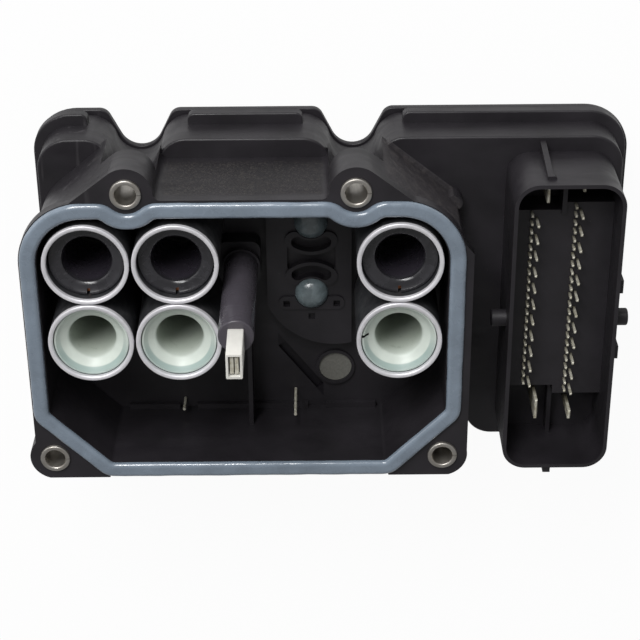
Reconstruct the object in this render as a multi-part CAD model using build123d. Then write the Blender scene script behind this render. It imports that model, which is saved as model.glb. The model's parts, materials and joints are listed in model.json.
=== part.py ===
from build123d import *
from math import acos, atan2, cos, degrees, radians, sin
import os

os.makedirs("parts", exist_ok=True)

# Anti-lock brake control module, electronic half. Millimetres.
# The rear cover lies on the plane z = 0 and the valve flange looks up (+Z).
# The origin is under the middle of the four mounting holes.

# ---------------------------------------------------------------- levels
datum_z = 49.0            # plane of the coil rims, from the rear face
cover_edge = 2.6          # thickness of the cover's edge
seam_height = 0.7         # shadow gap between cover and housing
header_front = 21.0       # front face of the board box
chamber_floor = 19.0      # floor of the valve chamber
floor_thickness = 2.5
limiter_proud = 0.9       # limiters stand above the flange by this
limiter_below_datum = 0.1
flange_z = datum_z - limiter_below_datum - limiter_proud
seam_z = cover_edge + seam_height
floor_under = chamber_floor - floor_thickness
header_wall = 2.6
header_roof = 2.5
roof_under = header_front - header_roof
fit_gap = 0.2             # general assembly clearance
press_gap = 0.05          # pins moulded into the housing

# ---------------------------------------------------------------- mounting holes
hole_top_x = 29.05
hole_top_y = 39.2
hole_low_x = 52.75
hole_low_y = -39.3
limiter_od = 8.0
limiter_bore = 5.5
limiter_length = 13.6
limiter_slit = 0.5
ear_wall = 2.85           # plastic round a limiter
ear_radius = limiter_od / 2 + ear_wall
screw_head_r = 6.05       # driver channel behind an ear
holes_top = [(-hole_top_x, hole_top_y), (hole_top_x, hole_top_y)]
holes_low = [(-hole_low_x, hole_low_y), (hole_low_x, hole_low_y)]
holes = holes_top + holes_low

# ---------------------------------------------------------------- coils
coil_x = 40.5             # outer columns stand at plus and minus this
coil_gap = 1.35           # clearance between an outer can and the chamber wall
coil_row_y = 19.5
coil_od = 22.5
coil_side_gap = 0.6       # between two cans in a row
coil_row_gap = 0.3        # between the two rows
coil_top_gap = 1.55       # between an upper can and the chamber wall
can_wall = 1.2
can_length = 27.0
winding_room = 3.55       # from the can's bore to the bore of a black spool
white_extra = 0.3         # the bore of a white spool is this much smaller
bobbin_tube = 1.0
bobbin_flange = 1.3
face_black = 3.0          # face of a black bobbin below the rim
funnel_mouth = 1.0        # edge of a white funnel below the rim
funnel_depth = 3.8
winding_gap = 0.3
yoke_thickness = 2.0
yoke_clear = 0.3          # the yoke stands back from the bore
coil_columns = [-coil_x, -coil_x + coil_od + coil_side_gap, coil_x]
coil_low_y = coil_row_y - coil_od - coil_row_gap
can_z = datum_z - can_length
can_inner = coil_od / 2 - can_wall
bore_black = can_inner - winding_room
bore_white = bore_black - white_extra
pad_top = can_z - yoke_thickness
leg_width = 0.8
leg_thickness = 0.6
leg_spread = 3.5
leg_inset = 1.45          # legs stand this far inside the can's bore
leg_radius = can_inner - leg_inset

# ---------------------------------------------------------------- chamber outline
chamber_inset = 2.3       # inside wall of the chamber from the gasket's centre line
outline_half = coil_x + coil_od / 2 + coil_gap + chamber_inset
outline_arc = coil_od / 2 + coil_top_gap + chamber_inset
outline_low = -43.2
outline_chamfer = 17.2
dip_radius = 7.55
dip_blend = 4.5
corner_blend = 4.0
gasket_half = 2.15
gasket_height = 1.3
gasket_groove = 0.4
gasket_round = 1.15
chamber_wall = 2.1
flange_land = 2.35        # flange edge from the centre line
flange_lip = 3.6
side_strip = 4.1          # flange strip on the socket side
flange_right = outline_half + side_strip
flange_right_top = 26.0
flange_low = -45.9
top_wall_y = 37.3         # face of the wall between the two upper ears
ear_blend = 2.0
ramp_post_r = 2.1         # round post at the foot of the right ear's web
ramp_post_top = 26.0
ramp_run = 8.0            # the web runs on this far past the arch
outline_top = coil_row_y + outline_arc
dip_drop = hole_top_y - outline_top + dip_blend
dip_across = ((dip_radius + dip_blend) ** 2 - dip_drop ** 2) ** 0.5
corner_arc = min(outline_arc, outline_half - hole_top_x - dip_across)   # arch limited by the wall beside the dip

# ---------------------------------------------------------------- board box
socket_gap = 10.3         # between the flange strip and the shroud
shroud_left = flange_right + socket_gap
shroud_width = 28.8
shroud_right = shroud_left + shroud_width
body_left = -outline_half + 0.1
body_right = shroud_right + 2.2
body_top = 42.7
body_low = -49.6
body_corner = 8.5
body_edge_round = 0.6
lip_left = body_left - 3.5
lip_right = body_right + 4.2
lip_top = 43.8
lip_low = -50.7
lip_corner = 12.5
lip_edge_round = 0.8
box_flare = 20.0          # a notch opens by this angle on each side
box_shoulder = 7.5
lip_flare = 27.0          # the cover's upper notches open wider
lip_shoulder = 3.2
notch_body_gap = 0.6      # the box stands back from the cover's notch
rib_out = 2.2             # side rib, beyond the box
rib_rise = 3.1
rib_low_z = 7.6
rib_width = 3.2
rib_end = 15.5            # half length of the middle rib
rib_notch_gap = 13.3      # the outer ribs stop this far from a hole
cavity_step = 0.9         # rebate for the cover seal
cavity_step_height = 1.6
land_back = 0.9           # shadow gap depth
spigot_wall = 1.5
spigot_height = 2.6

# ---------------------------------------------------------------- connector
shroud_top = 38.4
shroud_low = -47.3
shroud_rim = 43.0
shroud_wall = 1.05
shroud_corner = 6.5
socket_floor = 21.8
block_face = 31.0
block_top_left = 26.0
block_top_right = 28.2
block_low_left = -27.7
block_low_right = -30.3
divider_x = (shroud_left + shroud_right) / 2 + 0.1
divider_wall = 1.2
divider_top_z = 32.0
divider_low_z = 26.5
key_x = shroud_left + 9.3
key_width = 1.5
key_height = 0.9
key_foot = 3.2            # the key is this proud at the board box
key_top = 39.5
key_nub = 0.75
foot_key_x = shroud_left + 12.6
foot_key_width = 2.0
foot_key_height = 2.0
peg_y = -4.05
peg_z = 35.0
peg_radius = 2.35
peg_length = 4.0
guide_offset = 10.0
guide_out = 2.0
guide_size = 3.8
pin_side = 0.64
pin_tip = 36.5
pin_tip_back = 34.0
pin_pitch = 4.85
pin_first_left = 23.45
pin_count_left = 11
pin_first_right = 25.8
pin_count_right = 12
pin_x_left = shroud_left + 7.4
pin_x_right = shroud_right - 9.9
pin_stagger = 1.4         # the back row stands this far to the left
pin_lead = 1.9            # and starts this far above the front row, at half the pitch
blade_wide = 5.9
blade_narrow = 2.6
blade_thickness = 0.8
blade_tip = 37.0
blade_left = shroud_left + 9.4
blade_right = shroud_right - 10.1
blades = [(blade_left, 33.6, blade_wide), (blade_right, 35.0, blade_narrow),
          (blade_left, -32.1, blade_wide), (blade_right, -33.9, blade_narrow)]

# ---------------------------------------------------------------- motor tower
tower_gap = 4.65          # from the inner column's cans to the tower's axis
tower_x = coil_columns[1] + coil_od / 2 + tower_gap
tower_y = 7.75
tower_radius = 4.6
tower_top = 65.8
collar_z = 25.8
collar_radius = 5.2
collar_height = 0.9
sleeve_width = 4.1
sleeve_depth = 6.9
sleeve_y = 6.65
sleeve_length = 13.0
sleeve_wall = 0.6
sleeve_root = 2.0         # the sleeve is held this deep in the tower
contact_thickness = 0.9
contact_width = 4.6
contact_gap = 1.2            # between the middles of the two strips
contact_below = 0.7

# ---------------------------------------------------------------- chamber floor details
plate_top = 23.0
plate_left = tower_x + 6.8
plate_right = coil_x - coil_od / 2 - 0.75
dome_x = (plate_left + plate_right) / 2 + 0.6
dome_y = 8.5
dome_pitch = 21.4
dome_radius = 4.6
dome_height = 3.0
slot_inner = 5.2
slot_outer = 8.6
slot_half_angle = 33.0
slot_depth = 2.4
slot_rim = 1.0
hollow_half = 6.6         # half length of the hollow between the two slots
hollow_depth = 1.8
vent_x = 24.0
vent_y = -27.9
vent_radius = 4.6
vent_hole = 1.4
vent_recess = 0.4
rib_thickness = 1.2
long_rib_x = 0.2
long_rib_top = 29.2
floor_pins = [(12.7, -35.4, 33.0), (-19.0, -38.2, 25.2)]
floor_pin_radius = 0.4

# ---------------------------------------------------------------- board and parts on it
board_thickness = 1.6
board_top = 10.6
board_gap = 0.6
board_under = board_top - board_thickness
leg_end = board_under - 0.5
plate_metal = 2.0         # heat spreader
pad_thickness = 2.4
transistor_height = board_under - cover_edge - plate_metal - pad_thickness
post_radius = 2.2
post_x = shroud_left - 5.8
posts = [(body_left + 5.3, 33.0), (post_x, 33.0), (-24.0, -43.0), (post_x + 3.0, -43.0)]
capacitor_radius = 4.0
beside_chamber = outline_half + flange_land
capacitor_x = beside_chamber + capacitor_radius + 0.4

# ---------------------------------------------------------------- helpers
def slab(face, z0, z1):
    """Prism of a plan face between two levels."""
    return extrude(Pos(0, 0, z0) * face, z1 - z0)


def rect(x0, y0, x1, y1):
    """Plan rectangle from its corners."""
    return Pos((x0 + x1) / 2, (y0 + y1) / 2) * Rectangle(x1 - x0, y1 - y0)


def box(x0, y0, z0, x1, y1, z1):
    """Box from two corners."""
    return slab(rect(x0, y0, x1, y1), z0, z1)


def round_rect(x0, y0, x1, y1, radius):
    """Plan rectangle with round corners."""
    return Pos((x0 + x1) / 2, (y0 + y1) / 2) * RectangleRounded(x1 - x0, y1 - y0, radius)


def rod(x, y, radius, z0, z1):
    """Upright cylinder."""
    return slab(Pos(x, y) * Circle(radius), z0, z1)


def tube(x, y, outer, inner, z0, z1):
    """Upright ring."""
    return slab(Pos(x, y) * Circle(outer) - Pos(x, y) * Circle(inner), z0, z1)


def edges_at(solid, z, longer=0.0):
    """Edges that lie wholly in one level."""
    found = []
    for edge in solid.edges():
        low = edge.bounding_box().min.Z
        high = edge.bounding_box().max.Z
        if abs(low - z) < 0.01 and abs(high - z) < 0.01 and edge.length > longer:
            found.append(edge)
    return found


def save(node, shape):
    """Write one node."""
    export_step(shape, "parts/" + node + ".step")


# ---------------------------------------------------------------- plan outlines
def arc(x, y, radius, start, end):
    """Arc about a centre between two angles in degrees."""
    points = []
    for angle in (start, (start + end) / 2, end):
        points.append((x + radius * cos(radians(angle)), y + radius * sin(radians(angle))))
    return ThreePointArc(*points)


def rounded(corners):
    """Closed plan outline from corners given as (x, y, radius)."""
    edges = []
    starts = []
    ends = []
    count = len(corners)
    for i in range(count):
        x, y, radius = corners[i]
        px, py, _ = corners[i - 1]
        nx, ny, _ = corners[(i + 1) % count]
        into = Vector(px - x, py - y).normalized()
        out = Vector(nx - x, ny - y).normalized()
        half = radians(into.get_angle(out)) / 2
        here = Vector(x, y)
        if radius < 0.01:
            starts.append(here)
            ends.append(here)
            continue
        run = radius * cos(half) / sin(half)
        start = here + into * run
        end = here + out * run
        middle = here + (into + out).normalized() * (radius / sin(half) - radius)
        edges.append(ThreePointArc(start, middle, end))
        starts.append(start)
        ends.append(end)
    for i in range(count):
        a, b = ends[i], starts[(i + 1) % count]
        if (b - a).length > 0.001:
            edges.append(Line(a, b))
    return make_face(edges)


def outline(k):
    """Chamber outline, offset outward by k from the gasket's centre line."""
    half, top, low = outline_half + k, outline_top + k, outline_low - k
    turn = 0.41421 * k
    corner = max(corner_blend + k, 0.4)
    cut = outline_chamfer
    plan = rounded([
        (-half, top, corner_arc + k), (-half, outline_low + cut - turn, corner),
        (-outline_half + cut - turn, low, corner), (outline_half - cut + turn, low, corner),
        (half, outline_low + cut - turn, corner), (half, top, corner_arc + k),
    ])
    for x, y in holes_top:
        plan -= dip(x, y, dip_radius - k, dip_blend + k, top)
    return plan


def dip(x, y, radius, blend, top):
    """What a straight top edge loses round a hole, with a blend on each side."""
    blend_y = top - blend
    down = y - blend_y
    across = ((radius + blend) ** 2 - down ** 2) ** 0.5
    tilt = degrees(atan2(down, across))
    return make_face([
        arc(x - across, blend_y, blend, 90, tilt),
        arc(x, y, radius, tilt - 180, -tilt),
        arc(x + across, blend_y, blend, 180 - tilt, 90),
        Polyline([(x + across, top), (x + across, top + 9), (x - across, top + 9), (x - across, top)]),
    ])


def notch_foot(radius, flare):
    """Distance from a hole to the point where the two flared sides of its notch would meet."""
    return radius / sin(radians(flare))


def notch_mouth(radius, flare, rise):
    """Half width of a flared notch at a distance from the hole."""
    return (notch_foot(radius, flare) + rise) * sin(radians(flare)) / cos(radians(flare))


def notched(left, low, right, top, corner, notch, shoulder, flare, shoulder_top, flare_top):
    """Outline of the board box or the cover: a rectangle with four driver notches."""
    (x1, y1), (x2, _) = holes_top
    (x3, y3), (x4, _) = holes_low
    step = x3 + notch - left
    tight = min(shoulder, max(step - notch, 0.3))
    wide = notch_mouth(notch, flare_top, top - y1)
    foot = y1 - notch_foot(notch, flare_top)
    broad = notch_mouth(notch, flare, y3 - low)
    return rounded([
        (left, top, corner),
        (x1 - wide, top, shoulder_top), (x1, foot, notch), (x1 + wide, top, shoulder_top),
        (x2 - wide, top, shoulder_top), (x2, foot, notch), (x2 + wide, top, shoulder_top),
        (right, top, corner), (right, low, corner),
        (x4 + broad, low, shoulder), (x4, y3 + notch_foot(notch, flare), notch), (x4 - broad, low, shoulder),
        (x3 + notch, low, shoulder), (x3 + notch, y3 + notch, min(notch, step - tight)),
        (left, y3 + notch, tight),
    ])


def body_outline(k):
    """Outline of the board box, offset outward by k."""
    shoulder = max(box_shoulder + k, 0.4)
    return notched(body_left - k, body_low - k, body_right + k, body_top + k, body_corner + k,
                   screw_head_r + notch_body_gap - k, shoulder, box_flare, shoulder, box_flare)


def cavity_outline(k):
    """Outline of the board cavity, offset outward by k."""
    return body_outline(k - header_wall)


def channels(radius):
    """Driver channels of the four screws, open to the top or the bottom edge."""
    far = 30.0
    cut = Sketch()
    lean = radians(box_flare)
    for x, y in holes_top:
        cut += Pos(x, y) * Circle(radius)
        wide = notch_mouth(radius, box_flare, far)
        tx, ty = radius * cos(lean), radius * sin(lean)
        cut += make_face(Polyline([
            (x - tx, y - ty), (x + tx, y - ty), (x + wide, y + far), (x - wide, y + far)], close=True))
    for x, y in holes_low:
        cut += Pos(x, y) * Circle(radius)
        cut += rect(x - radius, y - far, x + radius, y)
    x, y = holes_low[0]
    cut += rect(x - far, y - far, x, y + radius)
    return cut


def gasket_band(side_gap):
    """Plan ring of the gasket, wider by a gap on each side."""
    return outline(gasket_half + side_gap) - outline(-gasket_half - side_gap)


# ---------------------------------------------------------------- housing
def ear_plan(hole, reach):
    """Ear of a top hole: boss circle joined to the arch round the outer coil by a tangent web."""
    x, y = hole
    side = 1 if x > 0 else -1
    cx, cy = side * (outline_half - corner_arc), outline_top - corner_arc
    apart = ((x - cx) ** 2 + (y - cy) ** 2) ** 0.5
    heading = atan2(y - cy, side * (x - cx))
    lean = heading - acos((reach - ear_radius) / apart)
    nx, ny = side * cos(lean), sin(lean)
    web = make_face(Polyline([
        (cx, cy), (cx + reach * nx, cy + reach * ny),
        (x + ear_radius * nx, y + ear_radius * ny), (x, y), (x, outline_top - 4),
    ], close=True))
    foot = rect(x - ear_radius, outline_top - 4, x + ear_radius, y)
    return web + Pos(x, y) * Circle(ear_radius) + foot


def ear_line(hole, reach):
    """Outward normal of an ear's web and the point where the web touches the arch."""
    x, y = hole
    side = 1 if x > 0 else -1
    cx, cy = side * (outline_half - corner_arc), outline_top - corner_arc
    apart = ((x - cx) ** 2 + (y - cy) ** 2) ** 0.5
    lean = atan2(y - cy, side * (x - cx)) - acos((reach - ear_radius) / apart)
    nx, ny = side * cos(lean), sin(lean)
    return nx, ny, cx + reach * nx, cy + reach * ny


def top_wall():
    """Plan of the wall between the upper ears, blended into both."""
    lift = top_wall_y + ear_blend - hole_top_y
    away = ((ear_radius + ear_blend) ** 2 - lift ** 2) ** 0.5
    plan = rect(-hole_top_x, outline_top - 3, hole_top_x, top_wall_y)
    for x, y in holes_top:
        side = 1 if x > 0 else -1
        bx, by = x - side * away, y + lift
        fill = make_face(Polyline([(x, y), (bx, by), (bx, top_wall_y - 1), (x, top_wall_y - 1)], close=True))
        plan += fill - Pos(bx, by) * Circle(ear_blend)
    return plan


def ramp_plan():
    """Foot of the right ear's web, run on past the arch to a round post."""
    nx, ny, tx, ty = ear_line(holes_top[1], corner_arc + chamber_wall - chamber_inset)
    px, py = tx + ramp_run * ny, ty - ramp_run * nx
    foot = make_face(Polyline([
        (outline_half - corner_arc, outline_top - corner_arc), (tx, ty), (px, py),
        (px + 1.6, py - 3.2), (beside_chamber + 0.2, coil_row_y), (outline_half - 4, coil_row_y)], close=True))
    return foot, Pos(px, py) * Circle(ramp_post_r)


def low_ear_plan(hole):
    """Corner plate of a lower hole."""
    x, y = hole
    side = 1 if x > 0 else -1
    inner = side * (outline_half - outline_chamfer)
    bite = chamber_inset / 2
    boss = Pos(x, y) * Circle(ear_radius)
    edge = side * (outline_half + flange_land) if side < 0 else flange_right
    web = make_face(Polyline([
        (edge, outline_low + outline_chamfer + 2), (edge, y), (x, flange_low),
        (inner, flange_low), (inner - side * bite, outline_low + bite),
        (side * (outline_half - bite), outline_low + outline_chamfer + bite),
    ], close=True))
    plan = boss + web
    return plan - rect(x - 40, flange_low - 20, x + 40, flange_low)


def flange_shape():
    """Flange lip with the ears, the side strip and the top strip."""
    plan = outline(flange_land) + top_wall()
    plan += make_face(Polyline([
        (outline_half - 2, flange_right_top), (flange_right - 2.5, flange_right_top - 1.5),
        (flange_right, flange_right_top - 4.5), (flange_right, hole_low_y), (outline_half - 2, hole_low_y),
    ], close=True))
    for hole in holes_top:
        plan += ear_plan(hole, corner_arc + 0.5)
    for hole in holes_low:
        plan += low_ear_plan(hole)
    return plan


def header():
    """Board box with its cavity and rebate, open to the rear."""
    solid = slab(body_outline(0), seam_z, header_front)
    solid = fillet(edges_at(solid, header_front), body_edge_round)
    for plan in rib_plans():
        rib = slab(plan, rib_low_z, rib_low_z + rib_width)
        rib = fillet(edges_at(rib, rib_low_z + rib_width, 2.0), 0.5)
        solid += rib
    return solid


def rib_plans():
    """Outer rib of the board box, in three pieces between the notches."""
    stop = hole_top_x + rib_notch_gap
    top = body_top + rib_rise
    inside = body_top - 3
    left, right = body_left - rib_out, body_right + rib_out
    corner = body_corner + rib_out
    low_left = hole_low_y + 16
    low_right = hole_low_y + 6
    return [
        rounded([(left, low_left, 1.9), (left, top, corner), (-stop, top, 1.9), (-stop, inside, 0),
                 (body_left + 8, inside, 0), (body_left + 1, inside - 8, 0), (body_left + 1, low_left, 0)]),
        rounded([(-rib_end, inside, 0), (-rib_end, top, 1.9), (rib_end, top, 1.9), (rib_end, inside, 0)]),
        rounded([(stop, inside, 0), (stop, top, 1.9), (right, top, corner), (right, low_right, 1.9),
                 (body_right - 1, low_right, 0), (body_right - 1, inside - 8, 0), (body_right - 8, inside, 0)]),
    ]


def hollow(solid):
    """Room for the board, opened from the rear."""
    cavity = cavity_outline(0)
    solid -= slab(cavity, 0, floor_under)
    solid -= slab(cavity & rect(beside_chamber, body_low, body_right, body_top), floor_under - 1, roof_under)
    solid -= slab(cavity_outline(cavity_step), 0, seam_z + cavity_step_height)
    for x, y in posts:
        solid += rod(x, y, post_radius, board_top, roof_under + 0.3)
    return solid


def chamber(solid):
    """Walls, floor, flange and ears of the valve chamber."""
    wall = outline(chamber_wall - chamber_inset)
    solid += slab(wall, floor_under, flange_z)
    solid += slab(flange_shape(), flange_z - flange_lip, flange_z)
    for hole in holes_top:
        reach = corner_arc + chamber_wall - chamber_inset
        solid += slab(ear_plan(hole, reach), header_front - 3, flange_z - flange_lip)
    solid += slab(top_wall(), header_front - 3, flange_z - flange_lip)
    foot, post = ramp_plan()
    solid += slab(foot, header_front - 3, flange_z - flange_lip)
    solid += slab(post, header_front - 3, ramp_post_top)
    for hole in holes_low:
        x, y = hole
        plan_low = low_ear_plan(hole) & rect(x - 13, y - 13, x + 13, y + 13)
        solid += slab(plan_low, header_front - 3, flange_z - flange_lip)
    solid -= slab(outline(-chamber_inset), chamber_floor, datum_z)
    solid -= slab(gasket_band(0), flange_z - gasket_groove, datum_z)
    return solid


def screw_ways(solid):
    """Limiter bores, and the driver channels behind the ears."""
    head_z = flange_z + limiter_proud - limiter_length
    for x, y in holes:
        solid -= rod(x, y, limiter_od / 2 + press_gap, 0, datum_z)
    solid -= slab(channels(screw_head_r), 0, head_z)
    x, y = holes_low[1]
    return solid - box(x, y - 2 * screw_head_r, header_front, flange_right + 1, y + screw_head_r, head_z)


def chamber_details(solid):
    """Pads, raised plate, slots, ribs and grooves on the chamber floor."""
    z = chamber_floor
    for x in coil_columns:
        for y in (coil_row_y, coil_low_y):
            solid += tube(x, y, coil_od / 2 - 0.25, bore_black + 0.5, z - 0.5, pad_top)
    top = outline_top - chamber_inset + 0.5
    plate = make_face([
        Line((plate_left, -6), (plate_left, top)), Line((plate_left, top), (plate_right, top)),
        Line((plate_right, top), (plate_right, -18)),
        ThreePointArc((plate_right, -18), (12.5, -15), (plate_left, -6)),
    ])
    solid += slab(plate, z - 0.5, plate_top)
    for side in (1, -1):
        y = dome_y + side * dome_pitch / 2
        rim = sector(dome_x, y, slot_inner - slot_rim, slot_outer + slot_rim, -90 * side, slot_half_angle + 7)
        solid += slab(rim, plate_top - 0.5, plate_top + 0.7)
        cut = sector(dome_x, y, slot_inner, slot_outer, -90 * side, slot_half_angle)
        solid -= slab(cut, plate_top - slot_depth, plate_top + 2)
    between = round_rect(dome_x - hollow_half, dome_y - 4.2, dome_x + hollow_half, dome_y + 4.2, 1.5)
    for side in (1, -1):
        between -= Pos(dome_x, dome_y + side * dome_pitch / 2) * Circle(slot_outer + slot_rim)
    solid -= slab(between, plate_top - hollow_depth, plate_top + 2)
    low_dome = dome_y - dome_pitch / 2
    wings = round_rect(dome_x - 9.0, low_dome - 5.0, dome_x + 9.0, low_dome - 1.0, 1.9)
    solid += slab(wings, plate_top - 0.5, plate_top + 0.6)
    for x, y in ((-6.9, -3.2), (6.9, -3.2), (0, -7.4)):
        solid -= box(dome_x + x - 0.9, low_dome + y - 0.9, plate_top - 1.2,
                     dome_x + x + 0.9, low_dome + y + 0.9, plate_top + 2)
    solid -= rod(dome_x, low_dome, dome_radius - 0.6, plate_top - 1.0, plate_top + 2)
    solid -= rod(dome_x, dome_y + dome_pitch / 2, dome_radius - 0.6, plate_top - 1.0, plate_top + 2)
    for side in (1, -1):
        y = dome_y + side * dome_pitch / 2
        solid -= rod(dome_x, y, dome_radius + press_gap, plate_top, plate_top + 2)
    solid += tube(vent_x, vent_y, vent_radius + 0.9, vent_radius + press_gap, z - 0.5, z + 0.8)
    solid -= rod(vent_x, vent_y, vent_radius + press_gap, z - vent_recess, z + 2)
    solid -= rod(vent_x, vent_y, vent_hole, 0, z + 2)
    low = outline_low + chamber_inset
    solid += box(long_rib_x - rib_thickness / 2, low - 0.5, z - 0.5,
                 long_rib_x + rib_thickness / 2, tower_y, long_rib_top)
    for x0, x1 in ((-35, -20.5), (-15.5, 16.2), (21.4, 35.5)):
        solid += box(x0, low - 0.5, z - 0.5, x1, low + 1.6, z + 1.6)
    groove = Pos(14.3, -27.4) * Rot(0, 0, -52.3) * Rectangle(17.6, 2.4)
    solid -= slab(groove, z - 1.4, z + 1)
    strut = Pos(-15.6, -22.0) * Rot(0, 0, 58) * Rectangle(9.0, 1.0)
    solid += slab(strut, z - 0.5, z + 2.0)
    return solid


def sector(x, y, inner, outer, middle, half):
    """Part of a ring with round ends."""
    mid = (inner + outer) / 2
    width = (outer - inner) / 2
    a0, a1 = radians(middle - half), radians(middle + half)
    big = Pos(x, y) * (Circle(outer) - Circle(inner))
    far = 4 * outer
    wedge = Pos(x, y) * make_face(Polyline([
        (0, 0), (far * cos(a0), far * sin(a0)),
        (far * cos(radians(middle)), far * sin(radians(middle))),
        (far * cos(a1), far * sin(a1)),
    ], close=True))
    ring = big & wedge
    for a in (a0, a1):
        ring += Pos(x + mid * cos(a), y + mid * sin(a)) * Circle(width)
    return ring


def connector(solid):
    """Shroud, socket block, dividers, keys, pegs and guides."""
    plan = round_rect(shroud_left, shroud_low, shroud_right, shroud_top, shroud_corner)
    solid += slab(plan, header_front - 1.5, shroud_rim)
    ix0, iy0 = shroud_left + shroud_wall, shroud_low + shroud_wall
    ix1, iy1 = shroud_right - shroud_wall, shroud_top - shroud_wall
    inner = round_rect(ix0, iy0, ix1, iy1, shroud_corner - shroud_wall)
    solid -= slab(inner, socket_floor, shroud_rim + 1)
    block = rect(ix0 - 0.5, block_low_left, divider_x, block_top_left)
    block += rect(divider_x - 0.01, block_low_right, ix1 + 0.5, block_top_right)
    solid += slab(block, socket_floor - 0.5, block_face)
    wall = divider_wall / 2
    for y0, y1, top in ((block_top_left - 1, iy1 + 0.5, divider_top_z),
                        (iy0 - 0.5, block_low_left + 1, divider_low_z)):
        solid += box(divider_x - wall, y0, socket_floor - 0.5, divider_x + wall, y1, top)
    profile = make_face(Polyline([
        (shroud_top - 0.5, header_front - 0.5), (shroud_top + key_foot, header_front - 0.5),
        (shroud_top + key_height, key_top), (shroud_top - 0.5, key_top)], close=True))
    solid += extrude(Plane.YZ.offset(key_x - key_width / 2) * profile, key_width)
    solid += rod(key_x + key_width / 2 + 0.1, shroud_top + 0.2, key_nub, key_top - 1.6, key_top)
    solid += box(foot_key_x - foot_key_width / 2, shroud_low - foot_key_height, shroud_rim - 6,
                 foot_key_x + foot_key_width / 2, shroud_low + 0.5, shroud_rim - 0.8)
    peg = Pos(0, peg_y, peg_z) * Rot(0, 90, 0) * Cylinder(peg_radius, 2)
    for x, side in ((shroud_left, -1), (shroud_right, 1)):
        length = peg_length + 0.5
        at = x + side * (peg_length - 0.5) / 2
        peg = Pos(at, peg_y, peg_z) * Rot(0, 90, 0) * Cylinder(peg_radius, length)
        tip = peg.edges().sort_by(Axis.X)[-1] if side > 0 else peg.edges().sort_by(Axis.X)[0]
        solid += fillet([tip], 0.5)
    for side in (1, -1):
        y = peg_y + side * guide_offset
        solid += box(shroud_right - 0.5, y - guide_size / 2, peg_z - 2.0,
                     shroud_right + guide_out, y + guide_size / 2, peg_z + 2.0)
    return solid


def tower(solid):
    """Motor contact tower with its collar and foot."""
    x, y = tower_x, tower_y
    solid += rod(x, y, tower_radius, chamber_floor - 0.5, tower_top)
    solid += rod(x, y, collar_radius, collar_z, collar_z + collar_height)
    foot = round_rect(x - 6.2, y - 6, x + 5.2, y + 6.5, 2.5)
    solid += slab(foot, chamber_floor - 0.5, collar_z - 1.2)
    solid = fillet(tower_rim(solid), 0.5)
    hole = rect(x - sleeve_width / 2 - press_gap, sleeve_y - sleeve_depth / 2 - press_gap,
                x + sleeve_width / 2 + press_gap, sleeve_y + sleeve_depth / 2 + press_gap)
    return solid - slab(hole, tower_top - sleeve_root, tower_top + 2)


def tower_rim(solid):
    """Outer edge of the tower's end face."""
    return [e for e in edges_at(solid, tower_top) if e.length > 5]


def contact_places():
    """Middle of each of the two motor contact strips."""
    return [(tower_x - contact_gap / 2, sleeve_y), (tower_x + contact_gap / 2, sleeve_y)]


def coil_legs(x, y):
    """Plan rectangles of the two legs of one coil."""
    places = []
    for side in (-1, 1):
        dy = -(leg_radius ** 2 - leg_spread ** 2) ** 0.5
        places.append((x + side * leg_spread, y + dy))
    return places


def pin_places(x, first, count):
    """Front pins and the staggered pins between them, with the level of each tip."""
    front = [(x, first - i * pin_pitch, pin_tip) for i in range(count)]
    back = [(x - pin_stagger, first + pin_lead - i * pin_pitch / 2, pin_tip_back) for i in range(2 * count)]
    return front + back


def pin_ways(solid):
    """Holes for everything that passes from the chamber or the socket to the board."""
    side = pin_side / 2 + press_gap
    cuts = Sketch()
    left = pin_places(pin_x_left, pin_first_left, pin_count_left)
    right = pin_places(pin_x_right, pin_first_right, pin_count_right)
    for x, y, _ in left + right:
        cuts += rect(x - side, y - side, x + side, y + side)
    for x, y, width in blades:
        cuts += rect(x - blade_thickness / 2 - press_gap, y - width / 2 - press_gap,
                     x + blade_thickness / 2 + press_gap, y + width / 2 + press_gap)
    for x in coil_columns:
        for y in (coil_row_y, coil_low_y):
            for lx, ly in coil_legs(x, y):
                cuts += rect(lx - leg_width / 2 - press_gap, ly - leg_thickness / 2 - press_gap,
                             lx + leg_width / 2 + press_gap, ly + leg_thickness / 2 + press_gap)
    solid -= slab(cuts, board_top, shroud_rim)
    cuts = Sketch()
    for x, y in contact_places():
        cuts += rect(x - contact_thickness / 2 - press_gap, y - contact_width / 2 - press_gap,
                     x + contact_thickness / 2 + press_gap, y + contact_width / 2 + press_gap)
    solid -= slab(cuts, board_top, tower_top)
    for x, y, _ in floor_pins:
        solid -= rod(x, y, floor_pin_radius + press_gap, board_top, chamber_floor + 5)
    return solid


def above(plan):
    """Everything over a plan, in front of the board box."""
    return slab(plan, header_front, tower_top + 10)


# One moulding, kept as four bodies that meet face to face, so that each stays simple.
moulding = header()
moulding = chamber(moulding)
moulding = hollow(moulding)
moulding = screw_ways(moulding)
moulding = chamber_details(moulding)
moulding = tower(moulding)
moulding = connector(moulding)
split_x = (flange_right + shroud_left) / 2
whole = rect(lip_left - 20, lip_low - 20, lip_right + 20, lip_top + 20)
beside_socket = rect(split_x, lip_low - 20, lip_right + 20, lip_top + 20)
save("housing", pin_ways(moulding - above(whole)))
save("harness_socket", pin_ways(moulding & above(beside_socket)))
save("motor_tower", pin_ways(moulding & above(outline(-chamber_inset))))
save("valve_chamber", moulding & above(whole - outline(-chamber_inset) - beside_socket))

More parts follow.
